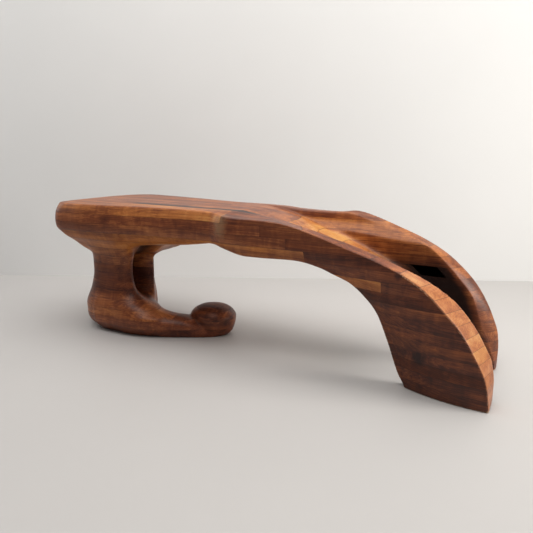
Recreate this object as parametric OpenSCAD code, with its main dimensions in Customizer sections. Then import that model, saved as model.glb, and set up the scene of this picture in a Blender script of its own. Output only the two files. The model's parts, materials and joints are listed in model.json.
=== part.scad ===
// Sculptural bench, built up from fifteen flat layers of walnut board and carved to shape.
// Every layer is made of boards that meet edge to edge and end to end, and the joints are
// staggered from layer to layer, so the glued block has no line of weakness.
// The seat runs along X. A waisted pedestal with a long foot holds its left end. At its
// right end the seat parts into two fins, with a trough between them, that curve to the floor.

/* [Overall size] */
// Length, from the round seat end to the toes of the fins
bench_l = 1348; // [1280:4:1420]
// Width across the widest part of the seat
bench_w = 426; // [390:2:450]
// Thickness of one board; fifteen layers of it make the seat height
board_t = 28.08; // [26:0.02:29.6]

/* [Seat] */
// How far the sides of the seat swell out past its top edge
side_swell = 14; // [6:1:16]
// Distance of the edge-glue lines from the middle of the seat
glue_line = 60; // [52:1:68]
// How far the glue lines step sideways from one layer to the next
glue_step = 14; // [5:1:16]

/* [Pedestal and foot] */
// Depth of the flute cut into the right side of the pedestal
flute_depth = 46; // [20:1:55]
// Half the width of that flute
flute_half_w = 24; // [16:1:30]
// Radius of the round toe
toe_r = 66; // [55:1:70]

/* [Fins] */
// Thickness of the front fin at the floor
front_fin_t = 73; // [60:1:80]
// Thickness of the rear fin
rear_fin_t = 48; // [40:1:56]
// How far the front face of the front fin curves back at its inner edge
face_curve = 46; // [20:1:55]

/* [Smoothness] */
// Points along each long side of a board
side_points = 9; // [6:1:14]
// Points along each end of a board
end_points = 5; // [4:1:9]
// Slices in the thickness of a board
slices = 3; // [2:1:4]

/* [Hidden] */
layers = 15;
support_layers = 10;
// Pedestal layers made of two boards edge to edge, and those made of one wide board
glued_pairs = [4, 6, 8];
wide_boards = [3, 5, 7, 9, 10];
nominal = [1348, 426, 28.08];
scale_xyz = [bench_l / nominal[0], bench_w / nominal[1], board_t / nominal[2]];
t = nominal[2];
far = 2000;

NODES = concat(
  ["sole_board", "foot_board", "toe_3", "toe_4"],
  [for (k = glued_pairs) each [str("pedestal_front_", k), str("pedestal_rear_", k)]],
  [for (k = wide_boards) str("pedestal_", k)],
  ["flare_front_11", "flare_rear_11", "front_beam_11", "rear_beam_11"],
  ["seat_front_12", "seat_rear_12", "nose_12", "fin_start_12", "rear_beam_12"],
  [for (k = [13:layers]) each [str("seat_front_", k), str("seat_rear_", k)]],
  [for (k = [13:layers]) each [str("beam_front_", k), str("beam_rear_", k)]],
  ["seat_middle_15", "beam_middle_15", "web_10"],
  [for (k = [1:support_layers]) each [str("front_fin_", k), str("rear_fin_", k)]],
  ["front_fin_inner_10"]
);
node = "all";

// ---- Smooth curves through a few points, given as [position, value] ----

function piece_of(p, x, i = 0) = (i < len(p) - 2 && x > p[i + 1][0]) ? piece_of(p, x, i + 1) : i;
function slope(p, i) = (p[i + 1][1] - p[i][1]) / (p[i + 1][0] - p[i][0]);
function mean_slope(a, b) = a * b <= 0 ? 0 : 2 * a * b / (a + b);
function tangent(p, i) =
  i == 0 ? slope(p, 0) :
  i == len(p) - 1 ? slope(p, i - 1) :
  mean_slope(slope(p, i - 1), slope(p, i));
function hermite(a, b, ma, mb, s) =
  a * (1 + 2 * s) * (1 - s) * (1 - s) + ma * s * (1 - s) * (1 - s)
  + b * s * s * (3 - 2 * s) + mb * s * s * (s - 1);
function curve(p, x) =
  let (u = min(max(x, p[0][0]), p[len(p) - 1][0]))
  let (i = piece_of(p, u))
  let (h = p[i + 1][0] - p[i][0])
  hermite(p[i][1], p[i + 1][1], tangent(p, i) * h, tangent(p, i + 1) * h, (u - p[i][0]) / h);
function mix(a, b, s) = a + (b - a) * s;
function ease(s) = let (u = min(max(s, 0), 1)) u * u * (3 - 2 * u);

// ---- Outlines of the seat, by x ----

seat_front = [[-610, -200], [-560, -199], [-470, -188], [-300, -156], [-160, -144], [-102, -142],
  [-54, -154.5], [-10, -158.5], [90, -160], [700, -158]];
seat_rear = [[-610, 200], [-560, 199], [-350, 172], [-130, 136], [-40, 140], [60, 150], [200, 144], [700, 138]];
seat_end_x = -660;
seat_cap_x = -560;

// Outward swell of the seat's sides at height z, as a share of side_swell
swell = [[292, -2.7], [304, -1.6], [314, -0.7], [324, -0.1], [345, 0.85], [365, 1], [390, 0.85], [406, 0.5], [421.2, 0]];
function swell_at(z) = side_swell * curve(swell, z);

// ---- Edges of the fins, as x at height z ----

front_arris = [[0, 673], [65, 661], [145, 621], [196, 585], [230, 551], [264, 516], [290, 480], [310, 442],
  [336, 374], [359, 300], [383, 223], [402, 150], [411, 90], [421.2, 10]];
front_rim_back = [[0, 674], [41, 674], [98, 666], [139, 646], [199, 608], [238, 573], [285, 504], [323, 417],
  [362, 307], [389, 197], [405, 120], [421.2, 0]];
front_inner = [[0, 466], [35, 446], [114, 415], [188, 381], [232, 345], [274, 301], [292, 262], [301, 222],
  [309, 185]];
// The nose under the shoulder rises to the underside of the beam
nose_under = [[308.8, -18], [312, -48], [317, -72], [322, -90]];
rear_outer = [[0, 667], [51, 668], [96, 664], [155, 643], [231, 599], [295, 536], [324, 495], [356, 433],
  [380, 371], [403, 306], [417, 253], [421.2, 215]];
rear_rim_front = [[0, 664], [27, 659], [66, 644], [143, 611], [208, 587], [259, 545], [302, 504], [335, 464],
  [366, 382], [395, 290], [410, 240], [421.2, 150]];
rear_inner = [[0, 520], [60, 505], [150, 470], [220, 415], [260, 365], [281, 318], [292, 250], [303, 110], [309, 0]];
trough = [[200, 450], [227, 435], [260, 395], [292, 335], [324, 265], [356, 190], [389, 105], [405, 50],
  [421.2, -30]];
web_under = [[252, 345], [266, 312], [281, 268]];

trough_half_w = 60;
seat_half_w = 216;

// Width of the front fin's rim at height z, as a share of front_fin_t
rim_share = [[172, 1], [199, 0.93], [238, 0.86], [285, 0.73], [323, 0.59], [362, 0.45], [389, 0.32], [421.2, 0.25]];
front_face_y = -158;
function front_inner_y(z) = front_face_y + front_fin_t * curve(rim_share, z);
rear_face_y = 142;
rear_foot_share = [[0, 0.55], [60, 0.75], [150, 1], [421.2, 1]];
function rear_inner_y(z) = rear_face_y - rear_fin_t * curve(rear_foot_share, z);

// The carved surface at the right: x at depth y and height z
function right_end(y, z) =
  curve([
    [front_face_y, curve(front_arris, z)],
    [front_inner_y(z), curve(front_rim_back, z)],
    [-trough_half_w, curve(trough, z)],
    [trough_half_w, curve(trough, z)],
    [rear_inner_y(z), curve(rear_rim_front, z)],
    [rear_face_y, curve(rear_outer, z)]
  ], y);

// The front face of the front fin curves back towards its inner edge
face_share = [[0, 1], [200, 1], [300, 0.4], [340, 0]];
face_reach = 210;
function face_back(x, z) =
  let (d = min(max(curve(front_arris, z) - x, 0) / face_reach, 1))
  x < 60 ? 0 : face_curve * curve(face_share, z) * pow(d, 2.3) * ease((x - 60) / 120);

function front_y(x, z) = curve(seat_front, x) - swell_at(z) * (1 - ease((x + 60) / 120)) + face_back(x, z);
function rear_y(x, z) = curve(seat_rear, x) + swell_at(z) * (1 - ease((x - 60) / 160));

// The round seat end: x at depth y, squarer at its front corner than at its rear one
function seat_end(y, z) =
  let (half = y < 0 ? -front_y(seat_cap_x, z) : rear_y(seat_cap_x, z))
  let (n = y < 0 ? 5.5 : 2.2)
  let (s = min(abs(y) / half, 1))
  seat_cap_x - (seat_cap_x - seat_end_x + swell_at(z)) * pow(1 - pow(s, n), 1 / n);

// ---- Pedestal, foot and toe ----

ped_left = [[0, -598], [20, -616], [45, -628], [75, -630], [110, -620], [150, -606], [200, -597], [235, -598],
  [260, -603], [280, -612], [292, -624]];
ped_right = [[64, -290], [75, -325], [90, -352], [110, -380], [150, -402], [200, -410], [240, -405],
  [265, -388], [280, -368], [292, -342]];
ped_front = [[0, -140], [20, -155], [50, -163], [90, -160], [130, -150], [190, -141], [240, -143],
  [275, -153], [292, -164]];
ped_rear = [[0, 95], [30, 108], [70, 110], [150, 102], [220, 100], [260, 115], [280, 134], [292, 152]];
flute_share = [[100, 0], [125, 0.7], [160, 1], [230, 1], [270, 0.6], [292, 0]];
flute_y = -44;
ped_corner = 3;
ped_mid_y = -22;

function rounded(s, n) = pow(1 - pow(min(abs(s), 1), n), 1 / n);
function ped_share(y, z) =
  let (half = y < ped_mid_y ? ped_mid_y - curve(ped_front, z) : curve(ped_rear, z) - ped_mid_y)
  rounded((y - ped_mid_y) / half, ped_corner);
function ped_mid_x(z) = (curve(ped_left, z) + curve(ped_right, z)) / 2;
function ped_half_x(z) = (curve(ped_right, z) - curve(ped_left, z)) / 2;
function ped_left_x(y, z) = ped_mid_x(z) - ped_half_x(z) * ped_share(y, z);
// The right side leans to the left towards the rear, and has the flute
function ped_right_x(y, z) =
  ped_mid_x(z) + ped_half_x(z) * ped_share(y, z)
  - flute_depth * curve(flute_share, z) * exp(-pow((y - flute_y) / flute_half_w, 2))
  - 36 * curve(flute_share, z) * ease((y - 10) / 90) * ped_share(y, z);

foot_front = [[-560, -140], [-430, -151], [-342, -134], [-194, -68]];
foot_rear = [[-560, 84], [-490, 92], [-420, 52], [-340, 26], [-290, 28], [-240, 46], [-190, 74]];
foot_swell = [[0, -8], [16, 4], [45, 13], [70, 8]];
toe_centre = [-182, 14];
toe_share = [[0, 0.66], [15, 0.84], [45, 0.98], [60, 1], [76, 0.88], [90, 0.62], [101, 0.2]];
toe_top = 101;

// ---- Boards ----

// Triangles across one face of a board, as numbers of its outline's points. The outline has two
// ends of e points and two long sides. Rungs join one long side to the other, and the points
// on the last rung, which start at number x, are joined to the carved end.
function rungs(n, e, x) =
  let (m = (n - 2 * e) / 2, right = e + m, rear = right + e)
  let (rung = concat([right - 1], [for (i = [1:e - 2]) x + i - 1], [rear]))
  e == 0 ? [for (i = [0:m - 2]) each [[i, i + 1, n - 2 - i], [i, n - 2 - i, n - 1 - i]]] :
  concat(
    [[e, n - 1, 0]],
    [for (i = [0:e - 2]) [e, i, i + 1]],
    [for (i = [0:m - 3])
      each [[e + i, e + i + 1, n - 2 - i], [e + i, n - 2 - i, n - 1 - i]]],
    [for (i = [0:e - 2]) [right - 2, rung[i], rung[i + 1]]],
    [[right - 2, rear, rear + 1]],
    [for (i = [0:e - 2])
      each [[rung[i], right + i, right + i + 1], [rung[i], right + i + 1, rung[i + 1]]]]
  );

// The points on the last rung of an outline, level with the points of its carved end
function rung_points(q, e) =
  let (m = (len(q) - 2 * e) / 2, a = q[e + m - 1], b = q[2 * e + m])
  [for (i = [1:e - 2])
    let (s = (q[e + m + i][1] - q[e + m][1]) / (q[e + m + e - 1][1] - q[e + m][1]))
    [mix(a[0], b[0], s), mix(a[1], b[1], s)]];

// A board is a closed skin through its outlines at several heights
module board(outlines, heights, e = end_points) {
  n = len(outlines[0]);
  last = len(outlines) - 1;
  extra = e == 0 ? 0 : e - 2;
  flat = concat(
    [for (k = [0:last]) for (q = outlines[k]) [q[0], q[1], heights[k]]],
    e == 0 ? [] : [for (k = [0, last]) for (q = rung_points(outlines[k], e)) [q[0], q[1], heights[k]]]
  );
  points = [for (q = flat) [q[0] * scale_xyz[0], q[1] * scale_xyz[1], q[2] * scale_xyz[2]]];
  sides = [
    for (k = [0:last - 1])
      for (i = [0:n - 1])
        let (j = (i + 1) % n)
          each [
            [k * n + i, k * n + i + n, k * n + j + n],
            [k * n + i, k * n + j + n, k * n + j]
          ]
  ];
  first_extra = (last + 1) * n;
  bottom = rungs(n, e, first_extra);
  top = [
    for (f = rungs(n, e, first_extra + extra - last * n))
      [for (i = [2:-1:0]) f[i] + last * n]
  ];
  polyhedron(points, concat(bottom, sides, top));
}

function heights(k, low = 0, high = 1) =
  [for (s = [0:slices]) (k - 1 + mix(low, high, s / slices)) * t];

function side_steps() = [for (i = [1:side_points - 1]) i / (side_points - 1)];
function end_steps() = [for (i = [0:end_points - 1]) i / (end_points - 1)];

// Outline made of a left end, the front side, the carved right end and the rear side.
// The long sides' own points stop at the rung, just short of the carved end.
rung_gap = 4;
function outline(left, right, y0, y1, z) =
  let (rung_x = min([for (q = right) q[0]]) - rung_gap)
  let (a = left[len(left) - 1][0], d = left[0][0])
  concat(
    left,
    [for (s = side_steps()) let (x = mix(a, rung_x, s)) [x, max(y0, front_y(x, z))]],
    right,
    [for (s = side_steps()) let (x = mix(rung_x, d, s - side_steps()[0])) [x, min(y1, rear_y(x, z))]]
  );

// A straight left end, square across the board
function square_start(x, y0, y1, z) =
  [for (s = end_steps()) [x, mix(min(y1, rear_y(x, z)), max(y0, front_y(x, z)), s)]];

// The round end of the seat
function round_start(y0, y1, z) =
  let (ya = max(y0, front_y(seat_cap_x, z)), yb = min(y1, rear_y(seat_cap_x, z)))
  [for (s = end_steps())
    let (e = seat_half_w * sin(mix(asin(yb / seat_half_w), asin(ya / seat_half_w), s)))
    [min(seat_end(e, z), seat_cap_x - 1), e]];

// The right end, carved to the sweep of the fins and the trough, or cut square at stop
function carved_end(stop, y0, y1, z) =
  let (near = min(stop, right_end(max(y0, front_face_y), z)))
  let (off = min(stop, right_end(min(y1, rear_face_y), z)))
  let (ya = max(y0, front_y(near, z)), yb = min(y1, rear_y(off, z)))
  [for (s = end_steps()) let (e = mix(ya, yb, s)) [min(stop, right_end(e, z)), e]];

function square_board(start, stop, y0, y1, z) =
  outline(square_start(start, y0, y1, z), carved_end(stop, y0, y1, z), y0, y1, z);
function round_board(stop, y0, y1, z) =
  outline(round_start(y0, y1, z), carved_end(stop, y0, y1, z), y0, y1, z);

// Outline of the web board, which ends in the trough
function web_outline(y0, y1, z) =
  let (x = curve(trough, z))
  outline(square_start(curve(web_under, z), y0, y1, z), [for (s = end_steps()) [x, mix(y0, y1, s)]], y0, y1, z);

// Outline of a pedestal board between depths y0 and y1
function ped_outline(y0, y1, z) =
  let (lo = max(y0, curve(ped_front, z) + 0.6), hi = min(y1, curve(ped_rear, z) - 0.6))
  let (mid = (lo + hi) / 2, half = (hi - lo) / 2)
  let (steps = [for (i = [0:side_points]) -cos(180 * i / side_points)])
  concat(
    [for (s = steps) let (y = mid + half * s) [ped_right_x(y, z), y]],
    [for (i = [side_points:-1:0]) let (y = mid + half * steps[i]) [ped_left_x(y, z), y]]
  );

// Outline of the two foot boards, from the heel to the round toe
function foot_outline(z) =
  let (grow = curve(foot_swell, z), r = toe_r * curve(toe_share, z))
  let (heel = [for (i = [0:2 * end_points])
    let (a = 90 + 180 * i / (2 * end_points))
    let (c = cos(a), s = sin(a))
    let (half_y = s > 0 ? 84 + grow : 140 + grow)
    [-530 + (530 + curve(ped_left, z)) * pow(abs(c), 0.8), half_y * sign(s) * pow(abs(s), 0.8)]])
  let (front = [for (s = side_steps())
    let (x = mix(-530, toe_centre[0] - 20, s))
    [x, curve(foot_front, x) - grow]])
  let (toe = [for (i = [0:2 * end_points])
    let (a = -70 + 160 * i / (2 * end_points))
    toe_centre + r * [cos(a), sin(a)]])
  let (rear = [for (s = side_steps())
    let (x = mix(toe_centre[0] - 20, -530, s - side_steps()[0]))
    [x, curve(foot_rear, x) + grow]])
  concat(heel, front, toe, rear);

// ---- Colours: warm browns of the same timber, a little different from board to board ----

tones = ["#7a4326", "#6b3a22", "#88502c", "#5d3020", "#955a33", "#70402a", "#a0663c"];
function tone(i) = tones[i % len(tones)];

// ---- Foot, toe and pedestal ----

module sole_board() {
  hs = heights(1);
  color(tone(3)) board([for (z = hs) foot_outline(z)], hs, 2 * end_points + 1);
}

module foot_board() {
  hs = heights(2);
  color(tone(5)) board([for (z = hs) foot_outline(z)], hs, 2 * end_points + 1);
}

// The round top of the toe is turned in two layers; it starts at height low and ends at high
module toe(low, high) {
  zs = [for (s = [0:slices]) mix(low, high, s / slices)];
  profile = [for (z = zs) [toe_r * curve(toe_share, z), (z - low) * scale_xyz[2]]];
  translate([toe_centre[0] * scale_xyz[0], toe_centre[1] * scale_xyz[1], low * scale_xyz[2]])
    rotate_extrude($fn = 48)
      polygon(concat([[0, 0]], profile, [[0, (high - low) * scale_xyz[2]]]));
}

module toe_3() {
  color(tone(1)) toe(2 * t, 3 * t);
}

module toe_4() {
  color(tone(3)) toe(3 * t, toe_top);
}

function ped_glue_y(k) = ped_mid_y + (k == 6 ? 1 : -1) * glue_step;

module pedestal_front(k) {
  hs = heights(k);
  color(tone(k)) board([for (z = hs) ped_outline(-far, ped_glue_y(k), z)], hs, 0);
}

module pedestal_wide(k) {
  hs = heights(k);
  color(tone(k + 1)) board([for (z = hs) ped_outline(-far, far, z)], hs, 0);
}

module pedestal_rear(k) {
  hs = heights(k);
  color(tone(k + 3)) board([for (z = hs) ped_outline(ped_glue_y(k), far, z)], hs, 0);
}

// ---- Layer eleven: the flare above the pedestal, and the lowest layer of the beam ----

flare_right = [[280.8, -368], [292, -342], [304, -300], [314, -262], [318, -232], [322, -90]];
flare_inset = 14;
glue_11 = 6;
glue_12 = -22;
low_slices = [0, 0.2, 0.35, 0.5, 0.7, 1];

function flare_outline(y0, y1, z) =
  let (xr = curve(flare_right, z), inset = flare_inset * ease((-100 - xr) / 100))
  let (ya = max(y0, front_y(xr, z) + inset), yb = min(y1, rear_y(xr, z) - inset))
  let (right = [for (s = end_steps()) let (e = mix(ya, yb, s)) [xr - 2 * inset * pow(abs(e) / 150, 2), e]])
  outline(round_start(y0, y1, z), right, y0, y1, z);

module flare(k, y0, y1) {
  hs = [for (s = low_slices) (k - 1 + s) * t];
  board([for (z = hs) flare_outline(y0, y1, z)], hs);
}

// A board of the beam whose underside is carved away up to the curve called start
module low_beam(k, start, stop, y0, y1) {
  hs = [for (s = low_slices) (k - 1 + s) * t];
  board([for (z = hs) square_board(curve(start, z), stop, y0, y1, z)], hs);
}

module flare_front_11() {
  color(tone(4)) flare(11, -far, glue_11);
}

module flare_rear_11() {
  color(tone(2)) flare(11, glue_11, far);
}

module front_beam_11() {
  color(tone(0)) low_beam(11, front_inner, far, -far, glue_11);
}

module rear_beam_11() {
  color(tone(5)) low_beam(11, rear_inner, far, glue_11, far);
}

// ---- Layer twelve: the lowest layer of the seat, and the nose under the shoulder ----

nose_butt = 193;

module seat_front_12() {
  color(tone(5)) flare(12, -far, glue_12);
}

module seat_rear_12() {
  color(tone(0)) flare(12, glue_12, far);
}

module nose_12() {
  color(tone(6)) low_beam(12, nose_under, nose_butt, -far, glue_12);
}

module fin_start_12() {
  color(tone(3)) low_beam(12, [[0, nose_butt], [500, nose_butt]], far, -far, glue_12);
}

module rear_beam_12() {
  color(tone(1)) low_beam(12, nose_under, far, glue_12, far);
}

// ---- Layers thirteen to fifteen: seat boards on the left, beam boards on the right ----

// Glue lines along each layer, and the end-to-end joints of its front, rear and middle boards
glue_13 = glue_step + 10;
glue_14 = -glue_step - 24;
glue_15 = [-glue_line - glue_step, glue_line - glue_step];
butt_13 = [143, -160];
butt_14 = [66, -10];
butt_15 = [-56, -150, -240];

module seat_board(k, stop, y0, y1) {
  hs = heights(k);
  board([for (z = hs) round_board(stop, y0, y1, z)], hs);
}

module beam_board(k, start, y0, y1) {
  hs = heights(k);
  board([for (z = hs) square_board(start, far, y0, y1, z)], hs);
}

module seat_front_13() {
  color(tone(6)) seat_board(13, butt_13[0], -far, glue_13);
}

module seat_rear_13() {
  color(tone(1)) seat_board(13, butt_13[1], glue_13, far);
}

module beam_front_13() {
  color(tone(3)) beam_board(13, butt_13[0], -far, glue_13);
}

module beam_rear_13() {
  color(tone(4)) beam_board(13, butt_13[1], glue_13, far);
}

module seat_front_14() {
  color(tone(0)) seat_board(14, butt_14[0], -far, glue_14);
}

module seat_rear_14() {
  color(tone(2)) seat_board(14, butt_14[1], glue_14, far);
}

module beam_front_14() {
  color(tone(5)) beam_board(14, butt_14[0], -far, glue_14);
}

module beam_rear_14() {
  color(tone(6)) beam_board(14, butt_14[1], glue_14, far);
}

module seat_front_15() {
  color(tone(2)) seat_board(15, butt_15[0], -far, glue_15[0]);
}

module seat_middle_15() {
  color(tone(4)) seat_board(15, butt_15[2], glue_15[0], glue_15[1]);
}

module seat_rear_15() {
  color(tone(0)) seat_board(15, butt_15[1], glue_15[1], far);
}

module beam_front_15() {
  color(tone(6)) beam_board(15, butt_15[0], -far, glue_15[0]);
}

module beam_middle_15() {
  color(tone(1)) beam_board(15, butt_15[2], glue_15[0], glue_15[1]);
}

module beam_rear_15() {
  color(tone(5)) beam_board(15, butt_15[1], glue_15[1], far);
}

// ---- Web below the trough, and the two fins ----

module web_10() {
  hs = heights(10);
  color(tone(0))
    board([for (z = hs) web_outline(front_inner_y(z), rear_inner_y(z), z)], hs);
}

inner_butt_x = 400;
function fin_start(k, z) = max(curve(front_inner, z), k == 10 ? inner_butt_x : -far);

module front_fin(k) {
  hs = heights(k);
  color(tone(k + 2))
    board([for (z = hs) square_board(fin_start(k, z), far, -far, front_inner_y(z), z)], hs);
}

// A short board at the inner edge, end to end with the one outside it
module front_fin_inner_10() {
  hs = heights(10);
  color(tone(4))
    board([for (z = hs) square_board(curve(front_inner, z), inner_butt_x, -far, front_inner_y(z), z)], hs);
}

module rear_fin(k) {
  hs = heights(k);
  color(tone(k + 4))
    board([for (z = hs) square_board(curve(rear_inner, z), far, rear_inner_y(z), far, z)], hs);
}

function drawn(name) = node == "all" || node == name;

if (drawn("sole_board")) sole_board();
if (drawn("foot_board")) foot_board();
if (drawn("toe_3")) toe_3();
if (drawn("toe_4")) toe_4();
for (k = glued_pairs) {
  if (drawn(str("pedestal_front_", k))) pedestal_front(k);
  if (drawn(str("pedestal_rear_", k))) pedestal_rear(k);
}
for (k = wide_boards) if (drawn(str("pedestal_", k))) pedestal_wide(k);
if (drawn("flare_front_11")) flare_front_11();
if (drawn("flare_rear_11")) flare_rear_11();
if (drawn("front_beam_11")) front_beam_11();
if (drawn("rear_beam_11")) rear_beam_11();
if (drawn("seat_front_12")) seat_front_12();
if (drawn("seat_rear_12")) seat_rear_12();
if (drawn("nose_12")) nose_12();
if (drawn("fin_start_12")) fin_start_12();
if (drawn("rear_beam_12")) rear_beam_12();
if (drawn("seat_front_13")) seat_front_13();
if (drawn("seat_rear_13")) seat_rear_13();
if (drawn("beam_front_13")) beam_front_13();
if (drawn("beam_rear_13")) beam_rear_13();
if (drawn("seat_front_14")) seat_front_14();
if (drawn("seat_rear_14")) seat_rear_14();
if (drawn("beam_front_14")) beam_front_14();
if (drawn("beam_rear_14")) beam_rear_14();
if (drawn("seat_front_15")) seat_front_15();
if (drawn("seat_middle_15")) seat_middle_15();
if (drawn("seat_rear_15")) seat_rear_15();
if (drawn("beam_front_15")) beam_front_15();
if (drawn("beam_middle_15")) beam_middle_15();
if (drawn("beam_rear_15")) beam_rear_15();
if (drawn("web_10")) web_10();
for (k = [1:support_layers]) {
  if (drawn(str("front_fin_", k))) front_fin(k);
  if (drawn(str("rear_fin_", k))) rear_fin(k);
}
if (drawn("front_fin_inner_10")) front_fin_inner_10();
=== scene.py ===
# %% [markdown]
# # A carved walnut bench, layer by layer
#
# The real bench is a block of walnut boards, fifteen flat layers glued one on another, carved
# with gouges and sanded to one flowing shape: a seat, a waisted pedestal on a long foot, and
# two fins that curve down to the floor with a trough between them.
#
# This notebook makes it the same way round. It describes the carved shape as one solid, turns
# that into a fine mesh, and saws the mesh along the glue lines, so that every board is its own
# closed piece. The drawing of the bench comes first, because every board has a place in it.

# %% Load the frame
import json
import bpy
import bmesh
import numpy as np
from mathutils import Matrix, Vector


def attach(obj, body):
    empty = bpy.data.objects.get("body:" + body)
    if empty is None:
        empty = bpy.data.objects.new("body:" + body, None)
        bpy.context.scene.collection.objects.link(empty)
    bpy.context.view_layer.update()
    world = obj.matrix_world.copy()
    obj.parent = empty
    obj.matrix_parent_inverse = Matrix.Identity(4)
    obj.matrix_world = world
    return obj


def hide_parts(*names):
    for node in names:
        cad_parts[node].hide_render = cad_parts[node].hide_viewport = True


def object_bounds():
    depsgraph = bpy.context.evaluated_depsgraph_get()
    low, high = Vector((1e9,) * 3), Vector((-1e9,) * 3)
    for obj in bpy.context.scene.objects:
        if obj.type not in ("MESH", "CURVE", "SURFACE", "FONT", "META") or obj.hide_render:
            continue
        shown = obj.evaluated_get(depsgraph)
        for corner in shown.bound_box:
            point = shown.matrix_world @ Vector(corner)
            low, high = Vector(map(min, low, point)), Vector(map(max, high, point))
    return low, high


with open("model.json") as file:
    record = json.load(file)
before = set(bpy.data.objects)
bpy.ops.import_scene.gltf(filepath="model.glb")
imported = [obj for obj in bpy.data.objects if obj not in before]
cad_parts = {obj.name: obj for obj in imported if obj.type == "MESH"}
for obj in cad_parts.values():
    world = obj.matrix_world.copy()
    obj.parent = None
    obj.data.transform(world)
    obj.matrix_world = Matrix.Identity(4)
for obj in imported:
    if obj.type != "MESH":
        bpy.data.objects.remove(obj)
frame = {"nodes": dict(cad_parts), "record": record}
cad_low, cad_high = [list(corner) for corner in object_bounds()]
LAYERS = 15
MM = 0.001
BOARD_T = (cad_high[2] - cad_low[2]) / LAYERS / MM
print("boards:", len(frame["nodes"]), "each", round(BOARD_T, 2), "mm thick")

# %% [markdown]
# ## Camera
#
# The camera stands in front of the fins, a little above the seat, and looks along the bench
# towards the pedestal. It could be aimed with a Track To constraint, but a matrix made from
# three directions also holds the slight roll of a camera held by hand.

# %% Place the camera
CAMERA_AT = Vector((0.721, -1.401, 0.599))
LOOK = Vector((-0.443, 0.869, -0.219)).normalized()
ROLL = 0.0122
LENS, SENSOR = 35.8, 36.0

level_right = LOOK.cross(Vector((0, 0, 1))).normalized()
level_up = level_right.cross(LOOK)
right = level_right * np.cos(ROLL) + level_up * np.sin(ROLL)
up = level_up * np.cos(ROLL) - level_right * np.sin(ROLL)
camera_data = bpy.data.cameras.new("camera")
camera_data.lens, camera_data.sensor_width = LENS, SENSOR
camera = bpy.data.objects.new("camera", camera_data)
bpy.context.scene.collection.objects.link(camera)
camera.matrix_world = Matrix.Translation(CAMERA_AT) @ Matrix((right, up, -LOOK)).transposed().to_4x4()
bpy.context.scene.camera = camera
print("camera looks down", round(np.degrees(np.arcsin(-LOOK.z)), 1), "degrees")

# %% [markdown]
# ## Smooth curves through a few points
#
# A carver marks a few distances on the block and joins them by eye. The same idea works here:
# each edge of the bench is a short list of points, and `curve` joins them smoothly without
# overshooting. Bezier objects could do it too, but plain arrays can be evaluated for millions
# of places at once.

# %% Curves
def curve(points, at):
    x, y = np.array(points, float).T
    step = np.diff(x)
    rise = np.diff(y) / step
    before, after = rise[:-1], rise[1:]
    same_way = before * after > 0
    total = np.where(same_way, before + after, 1)
    lean = np.concatenate([rise[:1], np.where(same_way, 2 * before * after / total, 0), rise[-1:]])
    place = np.clip(at, x[0], x[-1])
    i = np.clip(np.searchsorted(x, place, side="right") - 1, 0, len(step) - 1)
    s = (place - x[i]) / step[i]
    start = y[i] * (1 + 2 * s) * (1 - s) ** 2 + lean[i] * step[i] * s * (1 - s) ** 2
    end = y[i + 1] * s ** 2 * (3 - 2 * s) - lean[i + 1] * step[i] * s ** 2 * (1 - s)
    return start + end


def ease(s):
    u = np.clip(s, 0, 1)
    return u * u * (3 - 2 * u)


def mix(a, b, s):
    return a + (b - a) * s


# %% [markdown]
# ## The outlines of the bench
#
# All numbers in this cell are millimetres from the middle of the bench at the floor, X to the
# right, Y to the back, Z up. They are the marks on the block: how wide the seat is along its
# length, where the arrises of the fins run, how the pedestal narrows to its waist.

# %% Seat and beam outlines
SEAT_FRONT = [
    (-610, -200), (-560, -199), (-470, -188), (-300, -156), (-160, -144), (-102, -142),
    (-54, -154.5), (-10, -158.5), (90, -160), (700, -158)]
SEAT_REAR = [
    (-610, 200), (-560, 199), (-350, 172), (-130, 136), (-40, 140), (60, 150), (200, 144), (700, 138)]
SIDE_SWELL = 14
FRONT_FADE_X, FRONT_FADE_OVER, REAR_FADE_X, REAR_FADE_OVER = -60, 120, 60, 160
SWELL = [
    (240, -8), (258, -5.2), (270, -3.9), (281, -3.1), (292, -2.4), (304, -1.5), (314, -0.7),
    (324, -0.1), (345, 0.85), (365, 1), (390, 0.85), (406, 0.5), (421.2, 0)]
SEAT_CAP_X, SEAT_END_X, END_MIN = -560, -660, 5
FRONT_CORNER, REAR_CORNER = 6.5, 2.3
SEAT_TOP = 421.2
ROLL_DEPTH = [(-200, 0), (-120, 2), (-60, 8), (-20, 11), (60, 12.5), (140, 13)]
ROLL_START = [(-200, 118), (-110, 110), (-60, 84), (0, 56), (100, 40)]
DIP_DEPTH = [(-60, 0), (10, 3), (60, 8), (130, 9.5), (185, 9), (212, 6.5), (232, 3), (260, 1)]
UNDER_FRONT = [
    (-640, 244), (-450, 250), (-425, 275), (-405, 292), (-370, 300), (-300, 307), (-250, 311.5),
    (-200, 317.5), (-165, 323), (-130, 329), (-108, 333), (-92, 333), (-78, 330), (-62, 322), (-46, 314),
    (-30, 307), (-12, 304.5), (5, 304.5), (35, 308), (65, 310.5), (125, 312), (190, 309.5), (222, 303),
    (262, 292),
    (301, 274), (345, 232), (381, 188), (415, 114), (446, 35), (466, 0), (480, -50), (540, -300)]
UNDER_REAR = [
    (-640, 244), (-410, 250), (-372, 274), (-342, 289), (-300, 302), (-262, 311), (-200, 318),
    (-130, 327), (-100, 328), (-60, 320), (-20, 312), (20, 309.5), (110, 303), (250, 292),
    (318, 281), (365, 260), (415, 220), (470, 150), (505, 60), (520, 0), (530, -60), (600, -400)]
UNDER_WEB = [
    (-640, 244), (-410, 250), (-372, 274), (-342, 289), (-300, 302), (-262, 311), (-200, 318), (-130, 327),
    (-60, 320), (0, 311), (150, 309.5), (230, 297), (268, 281), (312, 266), (345, 256), (380, 253.6),
    (440, 253.2), (600, 253)]

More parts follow.
